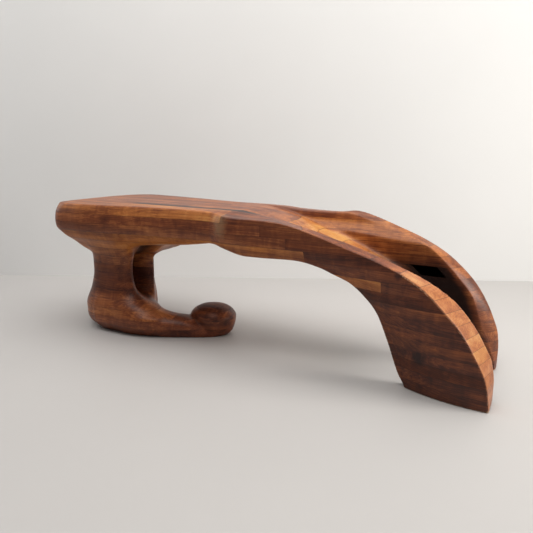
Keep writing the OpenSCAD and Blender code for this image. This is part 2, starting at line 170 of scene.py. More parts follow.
# %% Fin outlines: X of each edge by height
FRONT_ARRIS = [
    (0, 673), (65, 661), (145, 621), (196, 585), (230, 551), (264, 516), (290, 480), (310, 442),
    (336, 374), (359, 300), (383, 223), (402, 150), (411, 90), (421.2, 10)]
FRONT_RIM = [
    (0, 674), (41, 674), (98, 666), (139, 646), (199, 608), (238, 573), (285, 504), (323, 417),
    (362, 307), (389, 197), (405, 120), (421.2, 0)]
REAR_ARRIS = [
    (0, 667), (51, 668), (96, 664), (155, 643), (231, 599), (295, 536), (324, 495), (356, 433),
    (380, 371), (403, 306), (417, 253), (421.2, 215)]
REAR_RIM = [
    (0, 664), (27, 659), (66, 644), (143, 611), (208, 587), (259, 545), (302, 504), (335, 464),
    (366, 382), (395, 290), (410, 240), (421.2, 150)]
TROUGH = [
    (0, 560), (100, 505), (200, 450), (227, 435), (260, 395), (292, 335), (324, 265), (356, 190),
    (389, 105), (405, 50), (421.2, -30)]
RIM_SHARE = [
    (172, 1), (199, 0.93), (238, 0.86), (285, 0.73), (323, 0.59), (362, 0.45), (389, 0.32), (421.2, 0.25)]
FRONT_FACE_Y, FRONT_FIN_T = -158, 73
REAR_FACE_Y, REAR_FIN_T = 142, 48
TROUGH_HALF_W = 60
REAR_FOOT = [(0, 0.55), (60, 0.75), (150, 1), (421.2, 1)]
STEEP_FROM, STEEP_OVER, SOFT_DROP = 392, 62, 18
SOFT_FRONT_Y, SOFT_REAR_Y, SOFT_CREST_Y, CREST_Y = 96, 104, 126, 94
DISH_POWER, FRONT_WALL_POWER, REAR_WALL_POWER, CROWN_POWER = 0.92, 2.4, 2.6, 1.7
FRONT_SKIN_Y = -92
FACE_SHARE = [(0, 1), (200, 1), (300, 0.4), (340, 0)]
FACE_CURVE, FACE_REACH, FACE_POWER, FACE_FROM_X, FACE_OVER = 46, 210, 2.3, 60, 120

# %% Pedestal, foot and toe outlines by height
PED_LEFT = [
    (0, -600), (20, -618), (45, -630), (75, -633), (110, -624), (150, -612), (200, -604), (235, -604),
    (260, -608), (280, -614), (292, -620), (310, -630), (330, -640)]
PED_RIGHT = [
    (64, -290), (75, -325), (90, -352), (110, -380), (150, -402), (200, -410), (240, -405), (265, -388),
    (280, -368), (292, -342), (304, -300), (330, -200)]
PED_FRONT = [
    (0, -140), (20, -155), (50, -163), (90, -160), (130, -150), (190, -141), (240, -143), (275, -151),
    (292, -158), (330, -175)]
PED_REAR = [
    (0, 95), (30, 108), (70, 110), (150, 102), (220, 100), (260, 115), (280, 134), (292, 152),
    (330, 180)]
PED_MID_Y, PED_CORNER, PED_TOP, PED_LOW = -22, 3, 325, 30
FLUTE_SHARE = [(80, 0), (110, 0.5), (150, 0.95), (200, 1), (245, 1), (275, 0.9), (305, 0.7), (325, 0.5)]
FLUTE_DEPTH, FLUTE_FRONT_W, FLUTE_REAR_W, FLUTE_Y = 92, 38, 26, -48
REAR_LEAN, REAR_FLANK_X, FRONT_FLANK_X = 24, -404, -405
FLANK_LEAN, FLANK_X, FLANK_FLARE = 0.81, -426, 30
FOOT_FRONT = [(-560, -140), (-430, -151), (-342, -134), (-194, -68), (-120, -38)]
FOOT_REAR = [
    (-560, 84), (-510, 74), (-470, 30), (-430, -12), (-400, -38), (-340, -46), (-290, -34),
    (-240, -4), (-190, 20)]
FOOT_SWELL = [(0, -8), (16, 4), (45, 13), (70, 8)]
FOOT_TOP = [
    (-640, 116), (-420, 104), (-352, 86), (-300, 73), (-262, 66), (-225, 53), (-190, 34),
    (-150, 10)]
HEEL_X, HEEL_FRONT, HEEL_REAR, HEEL_CORNER, HEEL_SCALE, HEEL_STOP = -530, 140, 84, 2.5, 90, -500
FOOT_STOP, FOOT_ROUND = -135, 50
TOE_X, TOE_Y, TOE_R, TOE_TOP, TOE_STRETCH = -182, 10, 66, 101, 1.35
TOE_SHARE = [
    (0, 0.66), (15, 0.84), (45, 0.98), (60, 1), (76, 0.88), (90, 0.62), (98, 0.36), (101, 0.16)]

# %% [markdown]
# ## Carving as arithmetic
#
# A solid can be described by one number at every place: how far that place is outside the
# surface, negative when it is inside the wood. Sawing along a face is then the larger of two
# such numbers, and gluing two lumps is the smaller. Rounding the corner between them, as a
# carver does with a rasp, takes one more term. Booleans on meshes would need every part as a
# perfect mesh first, and they give no fillets.

# %% Saw, join and round
def smooth_join(a, b, r):
    near = np.clip(r - np.abs(a - b), 0, None) / r
    return np.minimum(a, b) - near ** 2 * r / 4


def smooth_saw(a, b, r):
    return -smooth_join(-a, -b, r)


def true_scale(value, *steps):
    # Divides a flat field of x by height (or the like) by its slope, so it counts in millimetres
    slopes = [np.gradient(value, s, axis=i) if value.shape[i] > 1 else 0 for i, s in steps]
    return 1 / np.sqrt(1 + sum(g ** 2 for g in slopes))


def roundness(u, v, n):
    # 1 on the outline of a rounded rectangle whose sides are at u = 1 and v = 1
    return np.maximum((u ** n + v ** n) ** (1 / n), 1e-6)


def outside_round(u, v, n, half_u, half_v, longest):
    r = roundness(u, v, n)
    slope = r ** (1 - n) * np.hypot(u ** (n - 1) / half_u, v ** (n - 1) / half_v)
    return (r - 1) / np.maximum(slope, 1 / longest)


# %% Sides of the seat
def side_swell(z):
    return SIDE_SWELL * curve(SWELL, z)


def front_side(x, z):
    inner = np.clip(curve(FRONT_ARRIS, z) - x, 0, None) / FACE_REACH
    begun = ease((x - FACE_FROM_X) / FACE_OVER) * (x > FACE_FROM_X)
    hollow = FACE_CURVE * curve(FACE_SHARE, z) * np.minimum(inner, 1) ** FACE_POWER * begun
    fade = 1 - ease((x - FRONT_FADE_X) / FRONT_FADE_OVER)
    return curve(SEAT_FRONT, x) - side_swell(z) * fade + hollow


def rear_side(x, z):
    fade = 1 - ease((x - REAR_FADE_X) / REAR_FADE_OVER)
    return curve(SEAT_REAR, x) + side_swell(z) * fade


def seat_end(x, y, z):
    # The round left end: a rounded rectangle in plan, squarer at its front corner
    reach = np.maximum(SEAT_CAP_X - SEAT_END_X + side_swell(z), END_MIN)
    u = np.clip(SEAT_CAP_X - x, 0, None) / reach
    half = np.where(y < 0, -front_side(SEAT_CAP_X, z), rear_side(SEAT_CAP_X, z))
    half = np.maximum(half, END_MIN)
    v = np.abs(y) / half
    n = np.where(y < 0, FRONT_CORNER, REAR_CORNER)
    return outside_round(u, v, n, SEAT_CAP_X - SEAT_END_X, half, 400)


# %% [markdown]
# ## The sweep of the fins
#
# Seen from above, the right end of each layer is one line: across the rim of the front fin,
# down into the trough, and up again to the rear fin. Its place is read from the edge curves at
# that height. High up the dip is a shallow dish, lower down the fins' inner walls are steep.

# %% Right end of the block
def fin_sweep(y, z):
    arris, rim = curve(FRONT_ARRIS, z), curve(FRONT_RIM, z)
    low, rear_rim, rear_arris = curve(TROUGH, z), curve(REAR_RIM, z), curve(REAR_ARRIS, z)
    rim_y = FRONT_FACE_Y + FRONT_FIN_T * curve(RIM_SHARE, z)
    rear_y = REAR_FACE_Y - REAR_FIN_T * curve(REAR_FOOT, z)
    steep = ease((STEEP_FROM - z) / STEEP_OVER)
    low = low - SOFT_DROP * (1 - steep)
    floor_front = mix(SOFT_FRONT_Y, -TROUGH_HALF_W, steep)
    floor_rear = mix(SOFT_REAR_Y, TROUGH_HALF_W, steep)
    rear_y = np.maximum(rear_y, mix(SOFT_CREST_Y, CREST_Y, steep))
    s = np.clip((y - rim_y) / (floor_front - rim_y), 0, 1)
    into = mix(s ** DISH_POWER, 1 - (1 - s) ** FRONT_WALL_POWER, steep)
    s = np.clip((rear_y - y) / (rear_y - floor_rear), 0, 1)
    out = mix(ease(s), 1 - (1 - s) ** REAR_WALL_POWER, steep)
    rim_line = mix(arris, rim, (y - FRONT_FACE_Y) / (rim_y - FRONT_FACE_Y))
    s = np.clip((y - rear_y) / (REAR_FACE_Y - rear_y), 0, 1.3)
    crown = rear_rim + (rear_arris - rear_rim) * (1 - np.abs(1 - s) ** CROWN_POWER)
    middle = (floor_front + floor_rear) / 2
    inside = np.where(y < middle, mix(rim, low, into), mix(rear_rim, low, out))
    return np.where(y < rim_y, rim_line, np.where(y > rear_y, crown, inside))


def seat_top(x, y):
    # The top is flat, but rolls down at the front of the shoulder and dips before the rear crown
    roll, start, dip = curve(ROLL_DEPTH, x), curve(ROLL_START, x), curve(DIP_DEPTH, x)
    rolled = roll * ease((-y - start) / (-FRONT_FACE_Y - start))
    return SEAT_TOP - rolled - dip * ease((y - 30) / 80)


# %% The seat, the beam and the fins
TROUGH_FILLET, FIN_ARRIS, TOP_ARRIS = 22, 3.2, 5


def upper_block(x, y, z, h):
    xz_step = [(0, h), (2, h)]
    front = front_side(x, z)
    front = (front - y) * true_scale(front, *xz_step)
    rear = rear_side(x, z)
    rear = (y - rear) * true_scale(rear, *xz_step)
    sweep = fin_sweep(y, z)
    sweep = (x - sweep) * true_scale(sweep, (1, h), (2, h))
    lows = []
    for points in (UNDER_FRONT, UNDER_WEB, UNDER_REAR):
        low = curve(points, x)
        lows.append((low - z) * true_scale(low, (0, h)))
    behind_edge = mix(1, ease((y + 75) / 60), ease((-60 - x) / 80))
    lows[1] = mix(lows[0], lows[1], behind_edge)
    rim_y = FRONT_FACE_Y + FRONT_FIN_T * curve(RIM_SHARE, z)
    rear_y = REAR_FACE_Y - REAR_FIN_T * curve(REAR_FOOT, z)
    trough = curve(TROUGH, z)
    front_fin = smooth_saw(lows[0], y - np.maximum(rim_y, FRONT_SKIN_Y), 8)
    rear_fin = smooth_saw(lows[2], np.minimum(rear_y, CREST_Y) - y, 8)
    web = smooth_saw(lows[1], (x - trough) * true_scale(trough, (2, h)), 12)
    wood = smooth_join(smooth_join(front_fin, web, TROUGH_FILLET), rear_fin, TROUGH_FILLET)
    sides = smooth_saw(front, rear, 4)
    sides = np.where(x < SEAT_CAP_X, seat_end(x, y, z), sides)
    wood = smooth_saw(wood, sides, 14 - 11 * ease((x - 150) / 150))
    wood = smooth_saw(wood, sweep, FIN_ARRIS)
    top = z - seat_top(x, y)
    return smooth_saw(wood, top, TOP_ARRIS)


# %% [markdown]
# ## Pedestal, foot and toe
#
# The pedestal is a rounded block in plan at every height, narrow at the waist and flared under
# the seat, with a deep flute gouged down its right side. It runs out into a long foot that
# ends in a round toe, with a crease where the two meet.

# %% The support at the left
def pedestal(x, y, z, h):
    left, rt = curve(PED_LEFT, z), curve(PED_RIGHT, z)
    front, rear = curve(PED_FRONT, z), curve(PED_REAR, z)
    middle, half = (left + rt) / 2, (rt - left) / 2
    cut = curve(FLUTE_SHARE, z)
    flute_w = np.where(y < FLUTE_Y, FLUTE_FRONT_W, FLUTE_REAR_W)
    flute = FLUTE_DEPTH * cut * np.exp(-((y - FLUTE_Y) / flute_w) ** 2)
    lean = REAR_LEAN * cut * ease((y - 10) / 90)
    tuck = np.clip(rt - REAR_FLANK_X, 0, None) * ease((y + 75) / 60) * ease((190 - z) / 60)
    lobe = np.clip(rt - FRONT_FLANK_X, 0, None) * ease((-40 - y) / 40) * ease((z - 225) / 30)
    reach = np.where(x < middle, half, half - flute - lean - tuck - lobe)
    u = np.abs(x - middle) / reach
    across = np.where(y < PED_MID_Y, PED_MID_Y - front, rear - PED_MID_Y)
    v = np.abs(y - PED_MID_Y) / across
    body = outside_round(u, v, PED_CORNER, reach, across, 200)
    flank_x = FLANK_X + FLANK_FLARE * ease((z - 225) / 50)
    flank = (x + FLANK_LEAN * y - flank_x) / np.hypot(1, FLANK_LEAN)
    body = smooth_saw(body, flank, 14)
    return smooth_saw(smooth_saw(body, z - PED_TOP, 10), PED_LOW - z, 10)


def foot(x, y, z, h):
    grow = curve(FOOT_SWELL, z)
    strip = smooth_saw(curve(FOOT_FRONT, x) - grow - y, y - curve(FOOT_REAR, x) - grow, 30)
    strip = smooth_saw(strip, HEEL_X - x, 4)
    u = np.abs(x - HEEL_X) / (HEEL_X - curve(PED_LEFT, z))
    v = np.abs(y) / np.where(y < 0, HEEL_FRONT + grow, HEEL_REAR + grow)
    heel = (roundness(u, v, HEEL_CORNER) - 1) * HEEL_SCALE
    heel = smooth_saw(heel, x - HEEL_STOP, 4)
    plan = smooth_join(strip, heel, 24)
    plan = smooth_saw(plan, x - FOOT_STOP, 20)
    top = curve(FOOT_TOP, x)
    body = smooth_saw(plan, (z - top) * true_scale(top, (0, h)), FOOT_ROUND)
    radius = TOE_R * curve(TOE_SHARE, z)
    along = (x - TOE_X) / np.where(x < TOE_X, TOE_STRETCH, 1)
    toe = (np.hypot(along, y - TOE_Y) - radius) * true_scale(radius, (2, h))
    toe = smooth_saw(toe, z - TOE_TOP, 12)
    return smooth_join(body, toe, 7)


FOOT_FILLET, SEAT_FILLET, FLOOR_ARRIS = 30, 20, 2.5


def carved(x, y, z, h):
    # The distance outside the finished wood at each place
    wood = upper_block(x, y, z, h)
    if x.min() < -80:
        support = smooth_join(pedestal(x, y, z, h), foot(x, y, z, h), FOOT_FILLET)
        wood = smooth_join(wood, support, SEAT_FILLET)
    return smooth_saw(wood, -z, FLOOR_ARRIS)


# %% [markdown]
# ## From numbers to a mesh
#
# The distances are worked out on a grid of small cells. Wherever a cell has both wood and air
# at its corners the surface passes through it, and it gets one vertex, at the average of the
# places where its edges cross the surface. Neighbouring cells are joined by square faces. This
# is the surface-nets method: its faces are even, so they shade smoothly. The remesh modifier
# works in a similar way but rounds off the arrises much more.

# %% Distances on a grid
CELL = 3.0
MARGIN = 4 * CELL
low_mm = np.array(cad_low) / MM - MARGIN
high_mm = np.array(cad_high) / MM + MARGIN
counts = np.ceil((high_mm - low_mm) / CELL).astype(int) + 1
gx, gy, gz = [(low_mm[i] + CELL * np.arange(counts[i])).astype(np.float64) for i in range(3)]
SLAB = 48
field = np.empty(tuple(counts), np.float32)
for start in range(0, counts[0], SLAB):
    stop = min(start + SLAB, counts[0])
    first, last = max(start - 1, 0), min(stop + 1, counts[0])
    part = carved(gx[first:last, None, None], gy[None, :, None], gz[None, None, :], CELL)
    field[start:stop] = part[start - first:part.shape[0] - (last - stop)]
print("grid:", tuple(counts), "cells of", CELL, "mm")


# %% Surface nets
def surface_nets(field, origin, cell):
    inside = field < 0
    corner = [(i, j, k) for i in (0, 1) for j in (0, 1) for k in (0, 1)]
    shape = tuple(n - 1 for n in field.shape)
    count = np.zeros(shape, np.uint8)
    for i, j, k in corner:
        count += inside[i:shape[0] + i, j:shape[1] + j, k:shape[2] + k]
    cells = np.argwhere((count > 0) & (count < 8))
    number = np.full(shape, -1, np.int64)
    number[tuple(cells.T)] = np.arange(len(cells))
    values = [field[tuple((cells + c).T)] for c in corner]
    total, hits = np.zeros((len(cells), 3)), np.zeros(len(cells))
    for a in range(8):
        for b in range(a + 1, 8):
            ca, cb = np.array(corner[a]), np.array(corner[b])
            if np.abs(ca - cb).sum() != 1:
                continue
            va, vb = values[a], values[b]
            cross = (va < 0) != (vb < 0)
            t = np.where(cross, va / np.where(cross, va - vb, 1), 0)
            total += cross[:, None] * (ca + t[:, None] * (cb - ca))
            hits += cross
    points = (cells + total / hits[:, None]) * cell + origin
    faces = []
    for axis in range(3):
        b, c = (axis + 1) % 3, (axis + 2) % 3
        ahead = [slice(0, -1) if i == axis else slice(None) for i in range(3)]
        behind = [slice(1, None) if i == axis else slice(None) for i in range(3)]
        here, there = inside[tuple(ahead)], inside[tuple(behind)]
        for solid, turned in ((here & ~there, False), (~here & there, True)):
            edges = np.argwhere(solid)
            quad = []
            for db, dc in ((0, 0), (1, 0), (1, 1), (0, 1)):
                shifted = edges.copy()
                shifted[:, b] -= db
                shifted[:, c] -= dc
                quad.append(number[tuple(shifted.T)])
            quad = np.stack(quad[::-1] if turned else quad, axis=1)
            faces.append(quad)
    return points, np.concatenate(faces)


points, faces = surface_nets(field, low_mm, CELL)
print("carved block:", len(points), "vertices,", len(faces), "faces")

# %% [markdown]
# ## Sharp edges, soft edges
#
# Finish wears through first on the arrises, and the lighter line there is partly that wear and partly a
# painted highlight. The hollows are painted darker as painted shade. Each vertex gets one number for how
# convex the surface is there, from how far its neighbours lie below it. The materials use it later. A
# pointiness node would do the same, but only in one render engine.

# %% How convex the surface is
def vertex_normals(points, faces):
    corners = points[faces]
    normal = np.cross(corners[:, 2] - corners[:, 0], corners[:, 3] - corners[:, 1])
    at_vertex = np.zeros_like(points)
    for i in range(4):
        np.add.at(at_vertex, faces[:, i], normal)
    return at_vertex / np.maximum(np.linalg.norm(at_vertex, axis=1, keepdims=True), 1e-9)


def convexity(points, faces, normals):
    drop, links = np.zeros(len(points)), np.zeros(len(points))
    for i in range(4):
        a, b = faces[:, i], faces[:, (i + 1) % 4]
        along = points[b] - points[a]
        np.add.at(drop, a, -(along * normals[a]).sum(axis=1))
        np.add.at(links, a, 1)
    return drop / np.maximum(links, 1) / CELL


EDGE_GAIN = 2.6
normals = vertex_normals(points, faces)
edge = np.clip(convexity(points, faces, normals) * EDGE_GAIN, -1, 1)
print("most convex", round(float(edge.max()), 2), "most hollow", round(float(edge.min()), 2))

# %% [markdown]
# ## Where the grain is cut across, and where painted light falls
#
# On the rims of the fins and in the dish the carving runs across the boards, and the wood shows paler
# there than on the flat faces. The mask is partly that paler end grain and partly painted light: it is
# taken from the direction of the surface, so faces turned up and to the right, towards the side light, are
# painted paler, with its strength set differently on the rear fin and along the front rim. A painted mask
# could say where, but the direction of the surface already does. The mask is stored on the vertices.

# %% Where end grain and painted light show
# Painted light: faces turned up and to the right, towards the side light, are painted paler; the mask is
# partly the paler end grain of the rims and the dish, and weaker on the rear fin.
UP_RIGHT = np.array([0.75, 0.0, 0.66])
DISH_X, REAR_SHARE, LOW_RIM_SHARE, HIGH_RIM_SHARE = 110, 0.15, 1.6, 0.2
facing = normals @ UP_RIGHT
end_grain_and_lit_side = ease((facing - 0.55) / 0.3) * ease(normals[:, 0] / 0.3)
end_grain_and_lit_side *= ease((points[:, 0] - DISH_X) / 60)
end_grain_and_lit_side *= mix(1, REAR_SHARE, ease((points[:, 1] - 70) / 40))
on_rim = mix(LOW_RIM_SHARE, HIGH_RIM_SHARE, ease((points[:, 2] - 290) / 60))
end_grain_and_lit_side *= mix(on_rim, 1, ease((points[:, 1] + 100) / 30))
print("end grain and painted light on", int((end_grain_and_lit_side > 0.5).sum()), "vertices")

# %% [markdown]
# ## Where the boards meet
#
# Each board is named in the drawing and has a place in its layer: between which end joints
# (X) and which edge joints (Y). The joints are staggered, as in a brick wall. A board is also
# given its own tone and warmth, because no two boards of walnut are alike.

# %% Layers and joints
ANY = None
GAP_X, FOOT_X, TOE_X0 = 100, 100, -276
FIN_BUTT_X, WEB_FRONT_Y, WEB_REAR_Y = 400, -101, 94
# Each row: layer, the limits in X, the limits in Y, tone, warmth
BOARDS = {
    "sole_board": (1, (ANY, FOOT_X), (ANY, ANY), 0.36, 0.30),
    "foot_board": (2, (ANY, FOOT_X), (ANY, ANY), 0.42, 0.36),
    "pedestal_3": (3, (ANY, TOE_X0), (ANY, ANY), 0.50, 0.62),
    "toe_3": (3, (TOE_X0, FOOT_X), (ANY, ANY), 0.36, 0.46),
    "pedestal_front_4": (4, (ANY, TOE_X0), (ANY, -36), 0.42, 0.45),
    "pedestal_rear_4": (4, (ANY, TOE_X0), (-36, ANY), 0.45, 0.50),
    "toe_4": (4, (TOE_X0, FOOT_X), (ANY, ANY), 0.36, 0.46),
    "pedestal_5": (5, (ANY, FOOT_X), (ANY, ANY), 0.36, 0.55),
    "pedestal_front_6": (6, (ANY, FOOT_X), (ANY, -8), 0.32, 0.40),
    "pedestal_rear_6": (6, (ANY, FOOT_X), (-8, ANY), 0.45, 0.50),
    "pedestal_7": (7, (ANY, FOOT_X), (ANY, ANY), 0.33, 0.30),
    "pedestal_front_8": (8, (ANY, FOOT_X), (ANY, -36), 0.38, 0.48),
    "pedestal_rear_8": (8, (ANY, FOOT_X), (-36, ANY), 0.46, 0.42),
    "pedestal_9": (9, (ANY, FOOT_X), (ANY, ANY), 0.46, 0.66),
    "pedestal_10": (10, (ANY, -100), (ANY, ANY), 0.50, 0.76),
    "flare_front_11": (11, (ANY, -60), (ANY, 6), 0.56, 0.86),
    "flare_rear_11": (11, (ANY, -60), (6, ANY), 0.45, 0.50),
    "front_beam_11": (11, (193, ANY), (ANY, 6), 0.33, 0.42),
    "rear_beam_11": (11, (-60, ANY), (6, ANY), 0.46, 0.60),
    "seat_front_12": (12, (ANY, -90), (ANY, -22), 0.60, 0.92),
    "seat_rear_12": (12, (ANY, -90), (-22, ANY), 0.48, 0.55),
    "nose_12": (12, (-90, 193), (ANY, -22), 0.52, 0.88),
    "fin_start_12": (12, (193, ANY), (ANY, -22), 0.30, 0.38),
    "rear_beam_12": (12, (-90, ANY), (-22, ANY), 0.52, 0.66),
    "seat_front_13": (13, (ANY, 143), (ANY, 24), 0.47, 0.52),
    "beam_front_13": (13, (143, ANY), (ANY, 24), 0.40, 0.42),
    "seat_rear_13": (13, (ANY, -160), (24, ANY), 0.46, 0.60),
    "beam_rear_13": (13, (-160, ANY), (24, ANY), 0.56, 0.74),
    "seat_front_14": (14, (ANY, 66), (ANY, -38), 0.49, 0.36),
    "beam_front_14": (14, (66, ANY), (ANY, -38), 0.40, 0.45),
    "seat_rear_14": (14, (ANY, -10), (-38, ANY), 0.44, 0.52),
    "beam_rear_14": (14, (-10, ANY), (-38, ANY), 0.62, 0.88),
    "seat_front_15": (15, (ANY, -56), (ANY, -74), 0.56, 0.78),
    "beam_front_15": (15, (-56, ANY), (ANY, -74), 0.36, 0.46),
    "seat_middle_15": (15, (ANY, -240), (-74, 46), 0.50, 0.55),
    "beam_middle_15": (15, (-240, ANY), (-74, 46), 0.52, 0.50),
    "seat_rear_15": (15, (ANY, -150), (46, ANY), 0.47, 0.56),
    "beam_rear_15": (15, (-150, ANY), (46, ANY), 0.46, 0.48),
    "web_10": (10, (0, ANY), (WEB_FRONT_Y, WEB_REAR_Y), 0.40, 0.55),
    "front_fin_inner_10": (10, (0, FIN_BUTT_X), (ANY, WEB_FRONT_Y), 0.60, 0.80),
}
FIN_TONES = [0.22, 0.25, 0.23, 0.27, 0.24, 0.29, 0.26, 0.30, 0.25, 0.28]
FIN_WARMTH = [0.50, 0.46, 0.60, 0.44, 0.66, 0.48, 0.40, 0.55, 0.42, 0.50]
WEB_LAYER = 10
for layer, (tone, warmth) in enumerate(zip(FIN_TONES, FIN_WARMTH), start=1):
    front_x, front_y, rear_y = GAP_X, 0, 0
    if layer == WEB_LAYER:
        front_x, front_y, rear_y = FIN_BUTT_X, WEB_FRONT_Y, WEB_REAR_Y
    BOARDS[f"front_fin_{layer}"] = (layer, (front_x, ANY), (ANY, front_y), tone, warmth)
    BOARDS[f"rear_fin_{layer}"] = (layer, (GAP_X, ANY), (rear_y, ANY), tone + 0.12, warmth * 0.6 + 0.25)
NOSE_LOW = 300
print("boards to saw:", len(BOARDS))

# %% [markdown]
# ## Sawing the block into boards
#
# `bisect_plane` cuts a mesh along a plane, and `holes_fill` closes the cut with a flat face. That
# face is split into triangles, because a later cut can go wrong across one large face with a
# wavy outline. Each layer is sliced off first, and then its boards are cut from that slice.

# %% The saw
def saw(bm, axis, at, keep_above):
    normal = Vector([1.0 if i == axis else 0.0 for i in range(3)])
    co = normal * at
    geometry = bm.verts[:] + bm.edges[:] + bm.faces[:]
    bmesh.ops.bisect_plane(
        bm, geom=geometry, dist=1e-4, plane_co=co, plane_no=normal,
        clear_inner=keep_above, clear_outer=not keep_above)
    rim = [e for e in bm.edges if e.is_boundary]
    filled = bmesh.ops.holes_fill(bm, edges=rim, sides=0)
    flat = set(bmesh.ops.triangulate(bm, faces=filled["faces"])["faces"])
    for f in flat:
        f.smooth = False
        for e in f.edges:
            e.smooth = not any(g not in flat for g in e.link_faces)


def slice_of(z0, z1):
    heights = points[:, 2][faces]
    chosen = faces[(heights.max(axis=1) > (z0 or -CELL)) & (heights.min(axis=1) < z1)]
    used, flat = np.unique(chosen, return_inverse=True)
    bm = bmesh.new()
    # These layers carry the convexity, which sets the arris wear with painted highlight and the painted
    # shade in the hollows, and the mask of end grain and painted light on faces turned towards the side
    # light.
    wear_and_highlight = bm.verts.layers.float.new("edge")
    end_grain_and_light_layer = bm.verts.layers.float.new("end_grain_and_lit_side")
    made = [bm.verts.new(p) for p in points[used]]
    for v, e, c in zip(made, edge[used], end_grain_and_lit_side[used]):
        v[wear_and_highlight] = e
        v[end_grain_and_light_layer] = c
    for a, b, c, d in flat.reshape(-1, 4):
        bm.faces.new((made[a], made[b], made[c], made[d])).smooth = True
    if z0 > 0:
        saw(bm, 2, z0, True)
    if z1 < SEAT_TOP:
        saw(bm, 2, z1, False)
    return bm


# %% Cut every board
slices, sawn = {}, {}
for name, (layer, xs, ys, tone, warmth) in BOARDS.items():
    z0, z1 = (layer - 1) * BOARD_T, layer * BOARD_T
    z0 = NOSE_LOW if name == "nose_12" else z0
    if (z0, z1) not in slices:
        slices[z0, z1] = slice_of(z0, z1)
    bm = slices[z0, z1].copy()
    for axis, (low, high) in ((0, xs), (1, ys)):
        if low is not ANY:
            saw(bm, axis, low, True)
        if high is not ANY:
            saw(bm, axis, high, False)
    bmesh.ops.recalc_face_normals(bm, faces=bm.faces)
    mesh = bpy.data.meshes.new(name)
    bm.to_mesh(mesh)
    bm.free()
    sawn[name] = (mesh, (xs, ys, (z0 or ANY, z1 if layer < LAYERS else ANY)), tone, warmth)
for bm in slices.values():
    bm.free()
print("sawn boards:", len(sawn), "faces:", sum(len(row[0].polygons) for row in sawn.values()))

# %% [markdown]
# ## What each board knows about itself
#
# Walnut is cut from different logs and different sides of a log, so each board takes its grain from its
# own spot in the imaginary timber. That spot, its tone and its warmth are stored on the mesh as
# attributes, with the distance to the nearest glue joint and how deep each vertex lies between the fins or
# in the flute. That depth is painted near-black as painted shade in those deep places. One material can
# then paint all boards differently, where separate materials would have to be kept alike by hand.

# %% Attributes and pieces
rng = np.random.default_rng(7)
SHIFT_RANGE = (3.0, 0.16, 0.16)
# Where and how strongly the shade between the fins and in the flute is painted.
SLOT_SHADE_REACH, SLOT_HALF_W, SLOT_FROM_X = 24.0, 103, 150
FLUTE_SHADE, FLUTE_SHADE_Y, FLUTE_SHADE_W = 0.9, -60, 24
slot_of = {row["node"]: row["material_slot"] for row in frame["record"]["subparts"]}
pieces = {}
for name, (mesh, planes, tone, warmth) in sawn.items():
    count = len(mesh.vertices)
    co = np.empty(count * 3)
    mesh.vertices.foreach_get("co", co)
    co = co.reshape(-1, 3)
    joint = np.full(count, 50.0)
    for axis, limits in enumerate(planes):
        for at in limits:
            if at is not ANY:
                joint = np.minimum(joint, np.abs(co[:, axis] - at))
    x, y, z = co.T
    # Painted shade: vertices below the rims in the gap between the fins, more so lower down, and in the
    # flute of the pedestal get a depth that the materials paint near-black.
    rim_x = np.where(y < 0, curve(FRONT_RIM, z), curve(REAR_RIM, z))
    in_trough = (np.abs(y) < SLOT_HALF_W) & (x > SLOT_FROM_X)
    painted_deep_shade = np.clip(rim_x - x, 0, SLOT_SHADE_REACH) * in_trough * ease((350 - z) / 130)
    flute_shade = curve(FLUTE_SHARE, z) * np.exp(-((y - FLUTE_SHADE_Y) / FLUTE_SHADE_W) ** 2)
    flute_shade *= ease((x + 520) / 60) * (x < -200)
    painted_deep_shade = np.maximum(painted_deep_shade, SLOT_SHADE_REACH * FLUTE_SHADE * flute_shade)
    shift = rng.uniform(-1, 1, 3) * SHIFT_RANGE
    tilt = rng.uniform(-0.05, 0.05)
    named = {"joint": joint, "tone": tone, "warmth": warmth, "tilt": tilt, "painted_deep_shade": painted_deep_shade}
    for label, values in named.items():
        layer_data = mesh.attributes.new(label, "FLOAT", "POINT")
        layer_data.data.foreach_set("value", np.broadcast_to(values, count).astype(np.float32))
    place = mesh.attributes.new("shift", "FLOAT_VECTOR", "POINT")
    place.data.foreach_set("vector", np.tile(shift, count).astype(np.float32))
    mesh.vertices.foreach_set("co", (co * MM).ravel())
    mesh.update()
    piece = bpy.data.objects.new("carved_" + name, mesh)
    bpy.context.scene.collection.objects.link(piece)
    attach(piece, "root")
    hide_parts(name)
    pieces[name] = piece
print("pieces:", len(pieces))

# %% [markdown]
# ## Walnut, as nodes
#
# Oiled walnut has four things going on at once: broad streaks of purple, brown and orange
# that follow the board, growth rings cut at a slant by the carving, fine fibres, and short
# dark pores. They live in one node group, in coordinates that run with the board, so a curved
# cut through them shows the arches and stripes of real carved wood. A painted picture could
# not do that, because it has no inside.

# %% Small helpers for node trees
def add(tree, kind, links=(), **settings):
    made = tree.nodes.new(kind)
    for key, value in settings.items():
        setattr(made, key, value)
    for socket, source in dict(links).items():
        if isinstance(source, bpy.types.NodeSocket):
            tree.links.new(source, made.inputs[socket])
        else:
            made.inputs[socket].default_value = source
    return made


def maths(tree, operation, *values):
    return add(tree, "ShaderNodeMath", dict(enumerate(values)), operation=operation).outputs[0]


def blend_colour(tree, kind, amount, a, b):
    made = add(tree, "ShaderNodeMix", {0: amount, 6: a, 7: b}, data_type="RGBA", blend_type=kind)
    return made.outputs[2]


def spread(tree, value, low, high, to_low=0.0, to_high=1.0):
    links = {0: value, 1: low, 2: high, 3: to_low, 4: to_high}
    return add(tree, "ShaderNodeMapRange", links, interpolation_type="SMOOTHSTEP").outputs[0]


